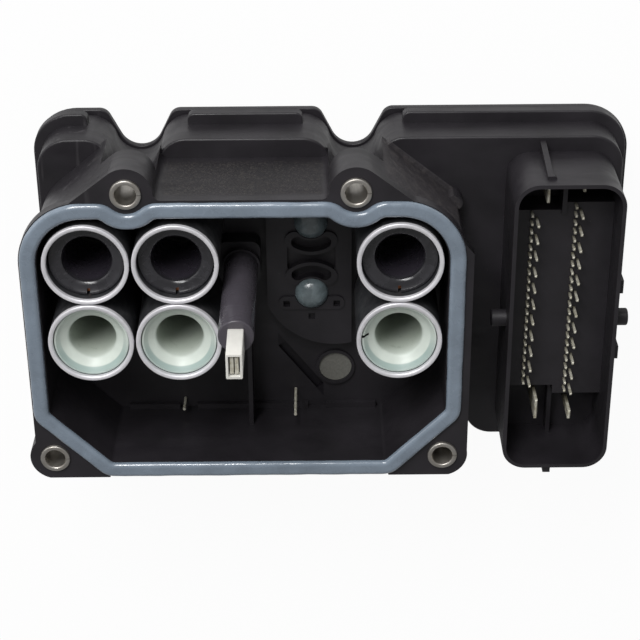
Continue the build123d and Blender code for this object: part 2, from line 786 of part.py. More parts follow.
# ---------------------------------------------------------------- cover and seal
lip = notched(lip_left, lip_low, lip_right, lip_top, lip_corner, screw_head_r,
              box_shoulder, box_flare, lip_shoulder, lip_flare)
cover = slab(lip, 0, cover_edge)
cover = fillet(edges_at(cover, 0), lip_edge_round)
cover += slab(body_outline(-land_back), cover_edge - 0.3, seam_z)
cover += slab(cavity_outline(-fit_gap), seam_z - 0.3, seam_z + spigot_height)
cover -= slab(cavity_outline(-fit_gap - spigot_wall), cover_edge, seam_z + spigot_height + 1)
save("rear_cover", cover)

seal_plan = cavity_outline(cavity_step - 0.1) - cavity_outline(0.1 - fit_gap)
save("cover_seal", slab(seal_plan, seam_z, seam_z + cavity_step_height - 0.1))

# ---------------------------------------------------------------- gasket and limiters
bead = slab(gasket_band(0), flange_z - gasket_groove, flange_z + gasket_height)
bead = fillet(edges_at(bead, flange_z + gasket_height), gasket_round)
save("flange_gasket", bead)

sleeves = []
for hx, hy in holes:
    z0 = flange_z + limiter_proud - limiter_length
    bush = tube(hx, hy, limiter_od / 2, limiter_bore / 2, z0, flange_z + limiter_proud)
    bush = chamfer(edges_at(bush, flange_z + limiter_proud), 0.3)
    bush -= box(hx, hy - limiter_slit / 2, z0 - 1, hx + limiter_od, hy + limiter_slit / 2, datum_z + 1)
    sleeves.append(bush)
save("limiters", Compound(children=sleeves))


# ---------------------------------------------------------------- coils
def can(x, y):
    """Steel sleeve of one coil."""
    shell = tube(x, y, coil_od / 2, can_inner, can_z, datum_z)
    return chamfer(edges_at(shell, datum_z), 0.25)


def bobbin(x, y, white):
    """Plastic spool of one coil, with a flat or a funnel face."""
    bore = bore_white if white else bore_black
    outer = can_inner - fit_gap
    top = datum_z - (funnel_mouth if white else face_black)
    step = datum_z - (funnel_depth if white else face_black)
    bottom = rod(x, y, outer, can_z, can_z + bobbin_flange)
    barrel = rod(x, y, bore + bobbin_tube, can_z, step)
    head = rod(x, y, outer, step - bobbin_flange, top)
    spool = bottom + barrel + head
    spool -= rod(x, y, bore, can_z - 1, datum_z + 1)
    if white:
        cone = Cone(bore, outer - 0.5, top - step + 0.001)
        spool -= Pos(x, y, (top + step) / 2) * cone
        spool = fillet(edges_at(spool, top), 0.15)
    else:
        spool = chamfer([e for e in edges_at(spool, top) if e.length < 45], 0.6)
        spool -= box(x - 0.45, y - can_inner + 0.45, step - bobbin_flange - 1,
                     x + 0.45, y - bore_black - bobbin_tube + 0.2, datum_z)
    return spool


def winding(x, y, white):
    """Copper winding between the flanges of a spool."""
    bore = bore_white if white else bore_black
    step = datum_z - (funnel_depth if white else face_black)
    z0 = can_z + bobbin_flange
    z1 = step - bobbin_flange
    return tube(x, y, can_inner - fit_gap - 0.4, bore + bobbin_tube, z0, z1)


def yoke(x, y):
    """Steel washer under a coil, slotted for the two legs."""
    ring = tube(x, y, coil_od / 2 - 0.2, bore_black + yoke_clear, pad_top, can_z)
    for lx, ly in coil_legs(x, y):
        ring -= box(lx - leg_width / 2 - fit_gap, ly - leg_thickness / 2 - fit_gap, pad_top - 1,
                    lx + leg_width / 2 + fit_gap, ly + leg_thickness / 2 + fit_gap, can_z + 1)
    return ring


legs = []
number = 0
for row_y, white in ((coil_row_y, False), (coil_low_y, True)):
    for cx in coil_columns:
        number += 1
        colour = "white" if white else "black"
        save("coil_can_" + str(number), can(cx, row_y))
        save("bobbin_" + colour + "_" + str(number), bobbin(cx, row_y, white))
        save("winding_" + str(number), winding(cx, row_y, white))
        save("coil_yoke_" + str(number), yoke(cx, row_y))
        for lx, ly in coil_legs(cx, row_y):
            legs.append(box(lx - leg_width / 2, ly - leg_thickness / 2, leg_end,
                            lx + leg_width / 2, ly + leg_thickness / 2, can_z))
save("coil_terminals", Compound(children=legs))

# ---------------------------------------------------------------- motor connection
sleeve_top = tower_top + sleeve_length
sleeve = box(tower_x - sleeve_width / 2, sleeve_y - sleeve_depth / 2, tower_top - sleeve_root,
             tower_x + sleeve_width / 2, sleeve_y + sleeve_depth / 2, sleeve_top)
sleeve = fillet(sleeve.edges().filter_by(Axis.Z), 0.35)
sleeve -= box(tower_x - sleeve_width / 2 + sleeve_wall, sleeve_y - sleeve_depth / 2 + sleeve_wall, tower_top - 9,
              tower_x + sleeve_width / 2 - sleeve_wall, sleeve_y + sleeve_depth / 2 - sleeve_wall, sleeve_top + 1)
save("motor_contact_sleeve", sleeve)
for name, (sx, sy) in zip(("motor_contact_left", "motor_contact_right"), contact_places()):
    save(name, box(sx - contact_thickness / 2, sy - contact_width / 2, leg_end,
                   sx + contact_thickness / 2, sy + contact_width / 2, sleeve_top - contact_below))


# ---------------------------------------------------------------- connector pins
def pin(x, y, tip):
    """Square pin with a pointed tip."""
    half = pin_side / 2
    shaft = box(x - half, y - half, leg_end, x + half, y + half, tip)
    return chamfer(edges_at(shaft, tip), 0.18)


for name, x, first, count in (("signal_pins_left", pin_x_left, pin_first_left, pin_count_left),
                              ("signal_pins_right", pin_x_right, pin_first_right, pin_count_right)):
    save(name, Compound(children=[pin(*place) for place in pin_places(x, first, count)]))

tabs = []
for bx, by, width in blades:
    tab = box(bx - blade_thickness / 2, by - width / 2, leg_end,
              bx + blade_thickness / 2, by + width / 2, blade_tip)
    tabs.append(chamfer(edges_at(tab, blade_tip), 0.25))
save("power_blades", Compound(children=tabs))

# ---------------------------------------------------------------- chamber trim
domes = []
for side in (1, -1):
    y = dome_y + side * dome_pitch / 2
    ball_r = (dome_radius ** 2 + dome_height ** 2) / (2 * dome_height)
    cap = Pos(dome_x, y, plate_top + dome_height - ball_r) * Sphere(ball_r)
    cap &= rod(dome_x, y, dome_radius + 1, plate_top, plate_top + dome_height + 1)
    cap += rod(dome_x, y, dome_radius - 0.8, plate_top - 1.0, plate_top + 0.1)
    domes.append(cap)
save("gel_domes", Compound(children=domes))
save("vent_membrane", rod(vent_x, vent_y, vent_radius, chamber_floor - vent_recess, chamber_floor + 0.1))
save("chamber_pins", Compound(children=[
    rod(x, y, floor_pin_radius, leg_end, top) for x, y, top in floor_pins]))

# ---------------------------------------------------------------- board
board_plan = cavity_outline(-spigot_wall - fit_gap - board_gap)
holes_plan = Sketch()
wide = 0.15
all_pins = pin_places(pin_x_left, pin_first_left, pin_count_left)
all_pins += pin_places(pin_x_right, pin_first_right, pin_count_right)
for x, y, _ in all_pins:
    holes_plan += rect(x - pin_side / 2 - wide, y - pin_side / 2 - wide, x + pin_side / 2 + wide, y + pin_side / 2 + wide)
for x, y, width in blades:
    holes_plan += rect(x - blade_thickness / 2 - wide, y - width / 2 - wide,
                       x + blade_thickness / 2 + wide, y + width / 2 + wide)
for cx in coil_columns:
    for cy in (coil_row_y, coil_low_y):
        for lx, ly in coil_legs(cx, cy):
            holes_plan += rect(lx - leg_width / 2 - wide, ly - leg_thickness / 2 - wide,
                               lx + leg_width / 2 + wide, ly + leg_thickness / 2 + wide)
for x, y in contact_places():
    holes_plan += rect(x - contact_thickness / 2 - wide, y - contact_width / 2 - wide,
                       x + contact_thickness / 2 + wide, y + contact_width / 2 + wide)
for x, y, _ in floor_pins:
    holes_plan += Pos(x, y) * Circle(floor_pin_radius + wide)
save("circuit_board", slab(board_plan, board_under, board_top) - slab(holes_plan, 0, datum_z))


def chip(x, y, width, depth, height):
    """Flat component that stands on the board."""
    body = box(x - width / 2, y - depth / 2, board_top, x + width / 2, y + depth / 2, board_top + height)
    return chamfer(edges_at(body, board_top + height), 0.3)


save("microcontroller", chip(12.0, -24.0, 16.0, 16.0, 1.6))
save("valve_driver", chip(-30.0, -26.0, 14.0, 14.0, 1.8))
save("sensor_amplifier", chip(17.5, 8.5, 7.0, 9.0, 1.5))
save("crystal", chip(30.0, -24.0, 5.0, 3.2, 1.2))
save("choke", chip(capacitor_x, -10.0, 2 * capacitor_radius, 8.0, 5.0))
save("storage_capacitors", Compound(children=[
    rod(capacitor_x, y, capacitor_radius, board_top, board_top + 7.4) for y in (6.0, 16.0)]))
chips = []
for x in (9.0, 19.0, 29.0):
    chips.append(box(x - 4, -1, board_under - transistor_height, x + 4, 9, board_under))
save("motor_transistors", Compound(children=chips))
save("heat_spreader", box(2.0, -8.0, cover_edge, 36.0, 16.0, cover_edge + plate_metal))
save("thermal_pad", box(4.0, -3.0, cover_edge + plate_metal, 34.0, 11.0, cover_edge + plate_metal + pad_thickness))
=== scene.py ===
import json
import math

import bpy
from mathutils import Matrix, Vector

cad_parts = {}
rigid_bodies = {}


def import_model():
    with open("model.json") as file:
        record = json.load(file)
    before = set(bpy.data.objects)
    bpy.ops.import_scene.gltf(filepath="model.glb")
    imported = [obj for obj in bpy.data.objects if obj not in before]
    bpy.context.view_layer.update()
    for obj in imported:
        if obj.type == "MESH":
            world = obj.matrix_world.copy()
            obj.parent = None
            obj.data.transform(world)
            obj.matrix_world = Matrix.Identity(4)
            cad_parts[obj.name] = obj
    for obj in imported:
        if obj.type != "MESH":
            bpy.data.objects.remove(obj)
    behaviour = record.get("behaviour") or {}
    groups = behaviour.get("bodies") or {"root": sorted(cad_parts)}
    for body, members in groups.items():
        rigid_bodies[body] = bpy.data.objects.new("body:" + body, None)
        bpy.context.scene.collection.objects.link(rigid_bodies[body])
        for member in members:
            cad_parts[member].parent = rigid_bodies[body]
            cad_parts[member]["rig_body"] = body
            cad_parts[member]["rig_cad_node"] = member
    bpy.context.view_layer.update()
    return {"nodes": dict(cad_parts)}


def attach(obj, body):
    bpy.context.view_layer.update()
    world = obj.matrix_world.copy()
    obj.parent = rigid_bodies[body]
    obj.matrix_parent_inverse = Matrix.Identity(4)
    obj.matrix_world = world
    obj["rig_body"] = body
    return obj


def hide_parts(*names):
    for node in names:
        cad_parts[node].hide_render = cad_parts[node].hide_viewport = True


bl_info = {
    "name": "Brake control module",
    "version": (1, 0, 0),
    "blender": (4, 5, 0),
    "location": "View3D > Sidebar > Brake module",
    "description": "Builds the visible pieces of an anti-lock brake control module on its frame",
    "category": "Object",
}

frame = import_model()
MM = 0.001

# Places and sizes in millimetres, in the frame of the part.
RIM = 49.0                    # rims of the cans
COLUMNS = (-40.5, -17.4, 40.5)
ROW_BLACK = 19.5
ROW_WHITE = -3.3
CAN_LENGTH = 27.0
BLACK_FACE = RIM - 3.0
WHITE_MOUTH = RIM - 1.0
WHITE_THROAT = RIM - 3.8
SPOOL_FLANGE = 1.3
SPOOL_TUBE = 1.0
SPOOL_GAP = 0.2               # between a spool and its can
WIRE_GAP = 0.6                # between a winding and its can
WIRE_TURNS = 30
WIRE_WAVES = 453.515          # scale at which the wave texture shows single wires
SCREWS = ((-29.05, 39.2), (29.05, 39.2), (-52.75, -39.3), (52.75, -39.3))
LIMITER_TOP = 48.9
LIMITER_LENGTH = 13.6
LIMITER_BORE = 2.75
LIMITER_OUTSIDE = 4.0
TOWER = (-1.5, 7.75)
DOMES = ((17.5, 19.2), (17.5, -2.2))
DOME_RADIUS = 4.6
DOME_FOOT = 23.0
DOME_HEIGHT = 3.0
NOTCH_SHADE = (31.6, -2.4)           # middle of the notch in the last white spool, painted nearly black as painted shade
RAMP_NORMAL = (0.625, 0.780, 0.0)
GROOVE_NORMAL = (0.791, 0.612, 0.0)

# Camera and lamps in metres.
CAMERA_AT = (0.01874, 0.22044, 0.44686)
CAMERA_LOOK = (0.0021, -0.4791, -0.8778)
CAMERA_RIGHT = (0.99996, -0.0064, 0.0059)
LAMP_TARGET = (0.02, 0.0, 0.03)
LAMPS = (                     # name, place, side, power
    ("glint", (-0.12, 0.85, 0.62), 0.12, 1.1),
    ("key", (-0.25, 0.92, 0.64), 0.50, 8.4),
    ("front", (-0.35, 0.72, 0.92), 0.32, 3.7),
    ("side", (-0.95, 0.45, 0.35), 0.60, 1.6),
)
SKY = 0.32                    # strength of the studio's even light
FLOOR_GLOW = 0.95             # share of plain white in the floor that the camera sees


# ---------------------------------------------------------------- sizes and colours
class ShellSettings(bpy.types.PropertyGroup):
    edge: bpy.props.FloatProperty(
        name="Edge radius", description="Rounding of the moulded edges", default=0.30 * MM,
        min=0.0, unit="LENGTH", precision=5)
    colour: bpy.props.FloatVectorProperty(
        name="Plastic", description="Colour of the glass-filled housing plastic",
        default=(0.0150, 0.0134, 0.0160), size=3, subtype="COLOR")
    roughness: bpy.props.FloatProperty(
        name="Roughness", description="Mean roughness of the moulded skin", default=0.42, min=0.0, max=1.0)


class CoilSettings(bpy.types.PropertyGroup):
    can: bpy.props.FloatProperty(
        name="Can diameter", description="Outside diameter of a coil's steel can", default=22.5 * MM, unit="LENGTH")
    wall: bpy.props.FloatProperty(
        name="Can wall", description="Wall of the steel can", default=1.2 * MM, unit="LENGTH")
    black_bore: bpy.props.FloatProperty(
        name="Black bore radius", description="Bore of a black spool", default=6.5 * MM, unit="LENGTH")
    white_bore: bpy.props.FloatProperty(
        name="White bore radius", description="Bore of a white spool", default=6.2 * MM, unit="LENGTH")
    black: bpy.props.FloatVectorProperty(
        name="Black spool", description="Colour of the black spools", default=(0.020, 0.0195, 0.0225), size=3,
        subtype="COLOR")
    white: bpy.props.FloatVectorProperty(
        name="White spool", description="Colour of the white spools", default=(0.55, 0.60, 0.55), size=3,
        subtype="COLOR")


class GasketSettings(bpy.types.PropertyGroup):
    colour: bpy.props.FloatVectorProperty(
        name="Silicone", description="Colour of the gasket", default=(0.160, 0.196, 0.240), size=3, subtype="COLOR")
    unevenness: bpy.props.FloatProperty(
        name="Unevenness", description="How far the bead wanders", default=0.10 * MM, unit="LENGTH", precision=5)


class StageSettings(bpy.types.PropertyGroup):
    floor: bpy.props.FloatProperty(
        name="Floor size", description="Side of the floor", default=6.0, unit="LENGTH")
    lens: bpy.props.FloatProperty(
        name="Lens", description="Focal length in millimetres", default=97.76)


# ---------------------------------------------------------------- modelling helpers
def clear_selection():
    if bpy.context.mode != "OBJECT":
        bpy.ops.object.mode_set(mode="OBJECT")
    bpy.ops.object.select_all(action="DESELECT")


def take(obj):
    """Selects one object alone."""
    clear_selection()
    obj.select_set(True)
    bpy.context.view_layer.objects.active = obj
    return obj


def edit():
    bpy.ops.object.mode_set(mode="EDIT")


def leave():
    bpy.ops.object.mode_set(mode="OBJECT")


def settle(obj, name):
    """Puts the object's place into its mesh and names it."""
    take(obj)
    bpy.ops.object.transform_apply(location=True, rotation=True, scale=True)
    obj.name = name
    obj.data.name = name
    return obj


def apply_all(obj):
    take(obj)
    for modifier in list(obj.modifiers):
        bpy.ops.object.modifier_apply(modifier=modifier.name)
    return obj


def tidy(obj, distance=0.00001):
    """Merges doubles and turns the faces outwards."""
    take(obj)
    edit()
    bpy.ops.mesh.select_all(action="SELECT")
    bpy.ops.mesh.remove_doubles(threshold=distance)
    bpy.ops.mesh.normals_make_consistent(inside=False)
    leave()
    return obj


def smooth(obj, angle=35):
    take(obj)
    bpy.ops.object.shade_smooth_by_angle(angle=math.radians(angle))
    return obj


def even_normals(obj):
    """Lets the large flat faces lead the shading, so that flats stay flat."""
    lead = obj.modifiers.new("normals", "WEIGHTED_NORMAL")
    lead.keep_sharp = True
    lead.weight = 80
    return apply_all(obj)


def round_edges(obj, width, segments=2, angle=35):
    bevel = obj.modifiers.new("edges", "BEVEL")
    bevel.width = width
    bevel.segments = segments
    bevel.limit_method = "ANGLE"
    bevel.angle_limit = math.radians(angle)
    bevel.use_clamp_overlap = True
    bevel.harden_normals = False
    return apply_all(obj)


def copy_of(node, name):
    """A merged copy of a frame node, to be worked on."""
    take(frame["nodes"][node])
    bpy.ops.object.duplicate()
    obj = bpy.context.view_layer.objects.active
    obj.parent = None
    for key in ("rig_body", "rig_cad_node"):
        if key in obj:
            del obj[key]
    obj.data.materials.clear()
    settle(obj, name)
    return tidy(obj)


def copies(obj, moves):
    """The piece and its copies, each with its own mesh, moved by x, y in millimetres."""
    made = [obj]
    for dx, dy in moves:
        take(obj)
        bpy.ops.object.duplicate()
        made.append(bpy.context.view_layer.objects.active)
        bpy.ops.transform.translate(value=(dx * MM, dy * MM, 0))
        bpy.ops.object.transform_apply(location=True, rotation=False, scale=False)
    return made


def join(parts, name):
    clear_selection()
    for part in parts:
        part.select_set(True)
    bpy.context.view_layer.objects.active = parts[0]
    bpy.ops.object.join()
    return settle(parts[0], name)


def turned(name, profile, spot, steps, closed=True):
    """A turned piece: the profile is a run of (radius, height) points in millimetres."""
    clear_selection()
    x, y = spot
    bpy.ops.mesh.primitive_plane_add(size=0.001, location=(0, 0, 0))
    obj = bpy.context.object
    edit()
    bpy.ops.mesh.select_all(action="SELECT")
    bpy.ops.mesh.merge(type="CENTER")
    bpy.ops.mesh.select_all(action="SELECT")
    bpy.ops.transform.translate(value=((x + profile[0][0]) * MM, y * MM, profile[0][1] * MM))
    run = list(profile[1:]) + ([profile[0]] if closed else [])
    last = profile[0]
    for radius, height in run:
        step = ((radius - last[0]) * MM, 0, (height - last[1]) * MM)
        bpy.ops.mesh.extrude_region_move(TRANSFORM_OT_translate={"value": step})
        last = (radius, height)
    bpy.ops.mesh.select_all(action="SELECT")
    bpy.ops.mesh.spin(steps=steps, angle=math.tau, center=(x * MM, y * MM, 0), axis=(0, 0, 1))
    leave()
    settle(obj, name)
    return tidy(obj, 0.000005)


def block(name, low, high):
    """A box from two corners in millimetres."""
    clear_selection()
    middle = [(a + b) / 2 * MM for a, b in zip(low, high)]
    bpy.ops.mesh.primitive_cube_add(size=1, location=middle)
    obj = bpy.context.object
    obj.scale = [(b - a) * MM for a, b in zip(low, high)]
    return settle(obj, name)


def combine(obj, other, operation):
    """Unites a piece with another body, or cuts it by one, and removes that body."""
    modifier = obj.modifiers.new("combine", "BOOLEAN")
    modifier.operation = operation
    modifier.object = other
    modifier.solver = "EXACT"
    apply_all(obj)
    bpy.data.objects.remove(other)
    return obj


def wear(obj, material):
    """Gives a piece one finish."""
    obj.data.materials.clear()
    obj.data.materials.append(material)
    return obj


def place(obj, slot, *nodes):
    """Attaches a finished piece to the root body and hides the frame nodes it replaces."""
    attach(obj, "root")
    if nodes:
        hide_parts(*nodes)
    return obj


# ---------------------------------------------------------------- material helpers
def shade(colour, share):
    return tuple(min(1.0, part * share) for part in colour)


class Finish:
    """Builds one node material on Object coordinates."""

    def __init__(self, name, colour, roughness, metallic=0.0, **sockets):
        self.material = bpy.data.materials.new(name)
        self.material.use_nodes = True
        self.tree = self.material.node_tree
        self.shader = self.tree.nodes["Principled BSDF"]
        self.shader.inputs["Base Color"].default_value = (*colour, 1)
        self.shader.inputs["Roughness"].default_value = roughness
        self.shader.inputs["Metallic"].default_value = metallic
        for key, value in sockets.items():
            self.shader.inputs[key.replace("_", " ")].default_value = value
        self.coords = self.tree.nodes.new("ShaderNodeTexCoord").outputs["Object"]
        self.height = None

    def link(self, a, b):
        self.tree.links.new(a, b)

    def node(self, kind, links=None, **values):
        made = self.tree.nodes.new("ShaderNode" + kind)
        for key, value in values.items():
            setattr(made, key, value)
        for key, value in (links or {}).items():
            socket = made.inputs[key]
            if isinstance(value, bpy.types.NodeSocket):
                self.link(value, socket)
            else:
                socket.default_value = value
        return made

    def noise(self, size, detail=3.0, rough=0.55, stretch=None, distortion=0.0):
        """Soft noise whose lumps are about size millimetres across."""
        vector = self.coords
        if stretch:
            vector = self.node("Mapping", {"Vector": self.coords, "Scale": stretch}).outputs["Vector"]
        made = self.node("TexNoise", {
            "Vector": vector, "Scale": 1 / (size * MM), "Detail": detail, "Roughness": rough,
            "Distortion": distortion})
        return made.outputs["Fac"]

    def specks(self, size, reach):
        """Small dots, about size millimetres apart; reach is their radius as a share of that."""
        cells = self.node("TexVoronoi", {"Vector": self.coords, "Scale": 1 / (size * MM)})
        made = self.node("ValToRGB", {"Fac": cells.outputs["Distance"]})
        middle, edge = made.color_ramp.elements
        middle.position, edge.position = 0.0, reach
        middle.color, edge.color = (1, 1, 1, 1), (0, 0, 0, 1)
        return made.outputs["Color"]

    def range(self, value, low, high, to_low, to_high, soft=False):
        made = self.node("MapRange", {
            "Value": value, "From Min": low, "From Max": high, "To Min": to_low, "To Max": to_high})
        made.interpolation_type = "SMOOTHSTEP" if soft else "LINEAR"
        return made.outputs["Result"]

    def math(self, operation, *values):
        return self.node("Math", dict(enumerate(values)), operation=operation).outputs[0]

    def times(self, a, b):
        return self.math("MULTIPLY", a, b)

    def plus(self, a, b):
        return self.math("ADD", a, b)

    def larger(self, a, b):
        return self.math("MAXIMUM", a, b)

    def along(self, direction):
        """Distance from the origin along a direction, in metres."""
        links = {0: self.coords, 1: direction}
        return self.node("VectorMath", links, operation="DOT_PRODUCT").outputs["Value"]

    def axis(self, name):
        if not hasattr(self, "parts"):
            self.parts = self.node("SeparateXYZ", {"Vector": self.coords})
        return self.parts.outputs[name]

    def near(self, value, middle, half, soft):
        """1 inside middle +- half, fading to 0 over soft, all in millimetres."""
        away = self.math("ABSOLUTE", self.math("SUBTRACT", value, middle * MM))
        return self.range(away, half * MM, half * MM + soft * MM, 1.0, 0.0, True)

    def zone(self, **bands):
        """Mask from millimetre bands such as X=(middle, half, soft)."""
        mask = None
        for name, band in bands.items():
            part = self.near(self.axis(name), *band)
            mask = part if mask is None else self.times(mask, part)
        return mask

    def mix(self, factor, a, b, blend="MIX"):
        made = self.node("Mix", data_type="RGBA", blend_type=blend)
        for socket, value in zip((made.inputs[0], made.inputs[6], made.inputs[7]), (factor, a, b)):
            if isinstance(value, bpy.types.NodeSocket):
                self.link(value, socket)
            elif isinstance(value, tuple):
                socket.default_value = (*value, 1)
            else:
                socket.default_value = value
        return made.outputs[2]

    def patch(self, mask, share, colour, base):
        """Lays a colour over the base where the mask is."""
        return self.mix(self.times(mask, share), base, colour)

    def between(self, value, dark, light):
        """Runs from one colour to the other over the middle of a noise."""
        return self.mix(self.range(value, 0.35, 0.65, 0.0, 1.0), dark, light)

    def colour(self, value):
        self.link(value, self.shader.inputs["Base Color"])

    def rough(self, value):
        self.link(value, self.shader.inputs["Roughness"])

    def bump(self, value, depth):
        """Adds relief of depth millimetres."""
        links = {"Height": value, "Distance": depth * MM, "Strength": 1.0}
        if self.height:
            links["Normal"] = self.height
        self.height = self.node("Bump", links).outputs["Normal"]
        self.link(self.height, self.shader.inputs["Normal"])


def moulded(name, colour, roughness):
    """Black glass-filled plastic with a faint grain, handling marks and dust, plus painted light on the motor tower
    and the right web and painted shade in the chamber groove.
    """
    f = Finish(name, colour, roughness, Specular_IOR_Level=0.36)
    cloud = f.noise(14, 4)
    grain = f.noise(0.35, 3)
    tone = f.range(cloud, 0.3, 0.7, 0.74, 1.30)
    tone = f.node("CombineColor", {0: tone, 1: tone, 2: tone}).outputs[0]
    base = f.mix(1.0, colour, tone, "MULTIPLY")
    dust = f.times(f.specks(2.6, 0.045), f.range(f.noise(9, 2), 0.52, 0.62, 0.0, 0.55))
    base = f.mix(dust, base, (0.24, 0.23, 0.21))
    wipe = f.noise(5, 4, 0.6, stretch=(0.25, 1.0, 1.0), distortion=0.6)
    rough = f.plus(f.range(wipe, 0.35, 0.68, -0.07, 0.09), roughness)
    # local zones: worn skin and scratches, plus painted light and painted shade
    for marks in (eroded_wall, ramp_web, tower_light_and_groove_shade, lobe_scratches):
        base, rough = marks(f, base, rough)
    f.colour(base)
    f.rough(rough)
    f.bump(grain, 0.012)
    f.bump(cloud, 0.06)
    return f.material


def eroded_wall(f, base, rough):
    """Coarse skin of the wall between the upper ears."""
    wall = f.zone(X=(0, 19.5, 2.5), Y=(37.3, 0.5, 0.3), Z=(34.0, 9.0, 3.0))
    base = f.patch(wall, 0.45, (0.004, 0.003, 0.004), base)
    pits = f.range(f.noise(0.5, 2), 0.5, 0.72, 0.0, 0.28)
    base = f.patch(wall, pits, (0.10, 0.088, 0.074), base)
    f.bump(f.times(wall, f.noise(0.42, 3, 0.7)), 0.10)
    return base, f.plus(rough, f.times(wall, 0.16))


def ramp_web(f, base, rough):
    """Lumpy, scuffed web beside the right ear, painted lighter all over as painted light."""
    web = f.near(f.along(RAMP_NORMAL), 55.5, 0.9, 0.4)
    web = f.times(web, f.zone(X=(47.0, 9.5, 2.0), Z=(31.0, 11.5, 2.5)))
    lumps = f.noise(2.6, 4, 0.6)
    # painted light: the whole web is painted lighter
    base = f.patch(web, 0.30, (0.055, 0.049, 0.052), base)
    scuff = f.times(web, f.range(lumps, 0.46, 0.66, 0.0, 1.0))
    base = f.patch(scuff, 0.30, (0.090, 0.080, 0.078), base)
    f.bump(f.times(web, lumps), 0.30)
    return base, f.plus(rough, f.times(web, 0.16))


def tower_light_and_groove_shade(f, base, rough):
    """Motor tower painted paler as painted light and made smoother; the groove on the chamber floor painted nearly
    black as painted shade.
    """
    x, y = TOWER
    tower = f.zone(X=(x, 4.75, 0.1), Y=(y, 4.75, 0.1), Z=(48.0, 17.0, 6.0))
    # painted light: the motor tower is painted paler than the housing plastic
    base = f.mix(tower, base, (0.062, 0.056, 0.067))
    # painted shade: the groove on the chamber floor is painted nearly black
    groove = f.near(f.along(GROOVE_NORMAL), -5.46, 1.25, 0.1)
    groove = f.times(groove, f.zone(X=(14.3, 6.3, 0.2), Z=(18.2, 1.0, 0.1)))
    base = f.patch(groove, 0.9, (0.004, 0.003, 0.005), base)
    return base, f.plus(rough, f.times(tower, -0.18))


def lobe_scratches(f, base, rough):
    """Fine scratches on the lobe at the upper left."""
    scratch = f.range(f.noise(2.4, 2, 0.5, stretch=(0.9, 0.08, 0.9)), 0.60, 0.68, 0.0, 1.0)
    marks = f.times(scratch, f.zone(X=(-48.0, 8.0, 3.0), Y=(38.0, 5.0, 3.0)))
    return f.patch(marks, 0.25, (0.10, 0.095, 0.10), base), rough


def plated(name, colour, roughness):
    """Plated steel with fine drawing marks and a little staining."""
    f = Finish(name, colour, roughness, metallic=1.0)
    lines = f.noise(0.25, 4, 0.6, stretch=(1.0, 1.0, 0.08))
    cloud = f.noise(3.5, 4, 0.6)
    f.colour(f.mix(f.range(cloud, 0.45, 0.75, 0.0, 0.55), colour, (0.30, 0.27, 0.22)))
    f.rough(f.plus(f.range(lines, 0.3, 0.7, -0.06, 0.10), roughness))
    f.bump(lines, 0.01)
    return f.material


def plain(name, colour, roughness, size=1.5, depth=0.01, spread=0.12, **sockets):
    """An even finish with slight variation."""
    f = Finish(name, colour, roughness, **sockets)
    cloud = f.noise(size, 4)
    f.colour(f.between(cloud, shade(colour, 1 - spread), shade(colour, 1 + spread)))
    f.rough(f.plus(f.range(f.noise(size * 2, 3), 0.35, 0.65, -0.05, 0.05), roughness))
    f.bump(cloud, depth)
    return f.material


# ---------------------------------------------------------------- pieces
class MODULE_OT_shell(bpy.types.Operator):
    """Moulded housing and rear cover, with rounded edges and a worked plastic skin"""

    bl_idname = "module.shell"
    bl_label = "Housing and cover"

    def execute(self, context):
        settings = context.scene.module_shell
        skin = moulded("housing_skin", tuple(settings.colour), settings.roughness)
        front = ("housing", "valve_chamber", "motor_tower", "harness_socket")
        for name, slot, nodes in (
            ("housing_moulded", "housing_plastic", front),
            ("rear_cover_moulded", "cover_plastic", ("rear_cover",)),
        ):
            shell = copy_of(nodes[0], name)
            for node in nodes[1:]:
                combine(shell, copy_of(node, node + "_part"), "UNION")
            tidy(shell)
            take(shell)
            edit()
            bpy.ops.mesh.select_all(action="SELECT")
            bpy.ops.mesh.dissolve_limited(angle_limit=math.radians(1.0))
            leave()
            round_edges(shell, settings.edge, 2, 40)
            smooth(shell, 40)
            even_normals(shell)
            wear(shell, skin)
            place(shell, slot, *nodes)
        return {"FINISHED"}


class MODULE_OT_gasket(bpy.types.Operator):
    """Silicone gasket bead with a slightly uneven surface"""

    bl_idname = "module.gasket"
    bl_label = "Gasket"

    def execute(self, context):
        settings = context.scene.module_gasket
        bead = copy_of("flange_gasket", "gasket_bead")
        remesh = bead.modifiers.new("even", "REMESH")
        remesh.mode = "VOXEL"
        remesh.voxel_size = 0.32 * MM
        soften = bead.modifiers.new("soften", "SMOOTH")
        soften.factor = 0.5
        soften.iterations = 4
        apply_all(bead)
        clouds = bpy.data.textures.new("bead_clouds", "CLOUDS")
        clouds.noise_scale = 6 * MM
        clouds.noise_depth = 1
        wander = bead.modifiers.new("wander", "DISPLACE")
        wander.texture = clouds
        wander.texture_coords = "LOCAL"
        wander.mid_level = 0.55
        wander.strength = settings.unevenness * 2
        apply_all(bead)
        smooth(bead, 180)
        wear(bead, self.silicone(tuple(settings.colour)))
        place(bead, "gasket_rubber", "flange_gasket")
        return {"FINISHED"}

    def silicone(self, colour):
        """Glossy silicone with a little dust on it."""
        f = Finish("gasket_silicone", colour, 0.24, Coat_Weight=0.75, Coat_Roughness=0.07,
                   Specular_IOR_Level=0.4)
        dust = f.times(f.specks(1.7, 0.05), f.range(f.noise(6, 2), 0.5, 0.62, 0.0, 0.5))
        base = f.between(f.noise(8, 3), shade(colour, 0.90), shade(colour, 1.12))
        f.colour(f.mix(dust, base, (0.5, 0.5, 0.48)))
        f.rough(f.plus(f.range(f.noise(3, 3), 0.4, 0.66, -0.05, 0.10), 0.26))
        f.bump(f.noise(5.0, 2), 0.10)
        return f.material


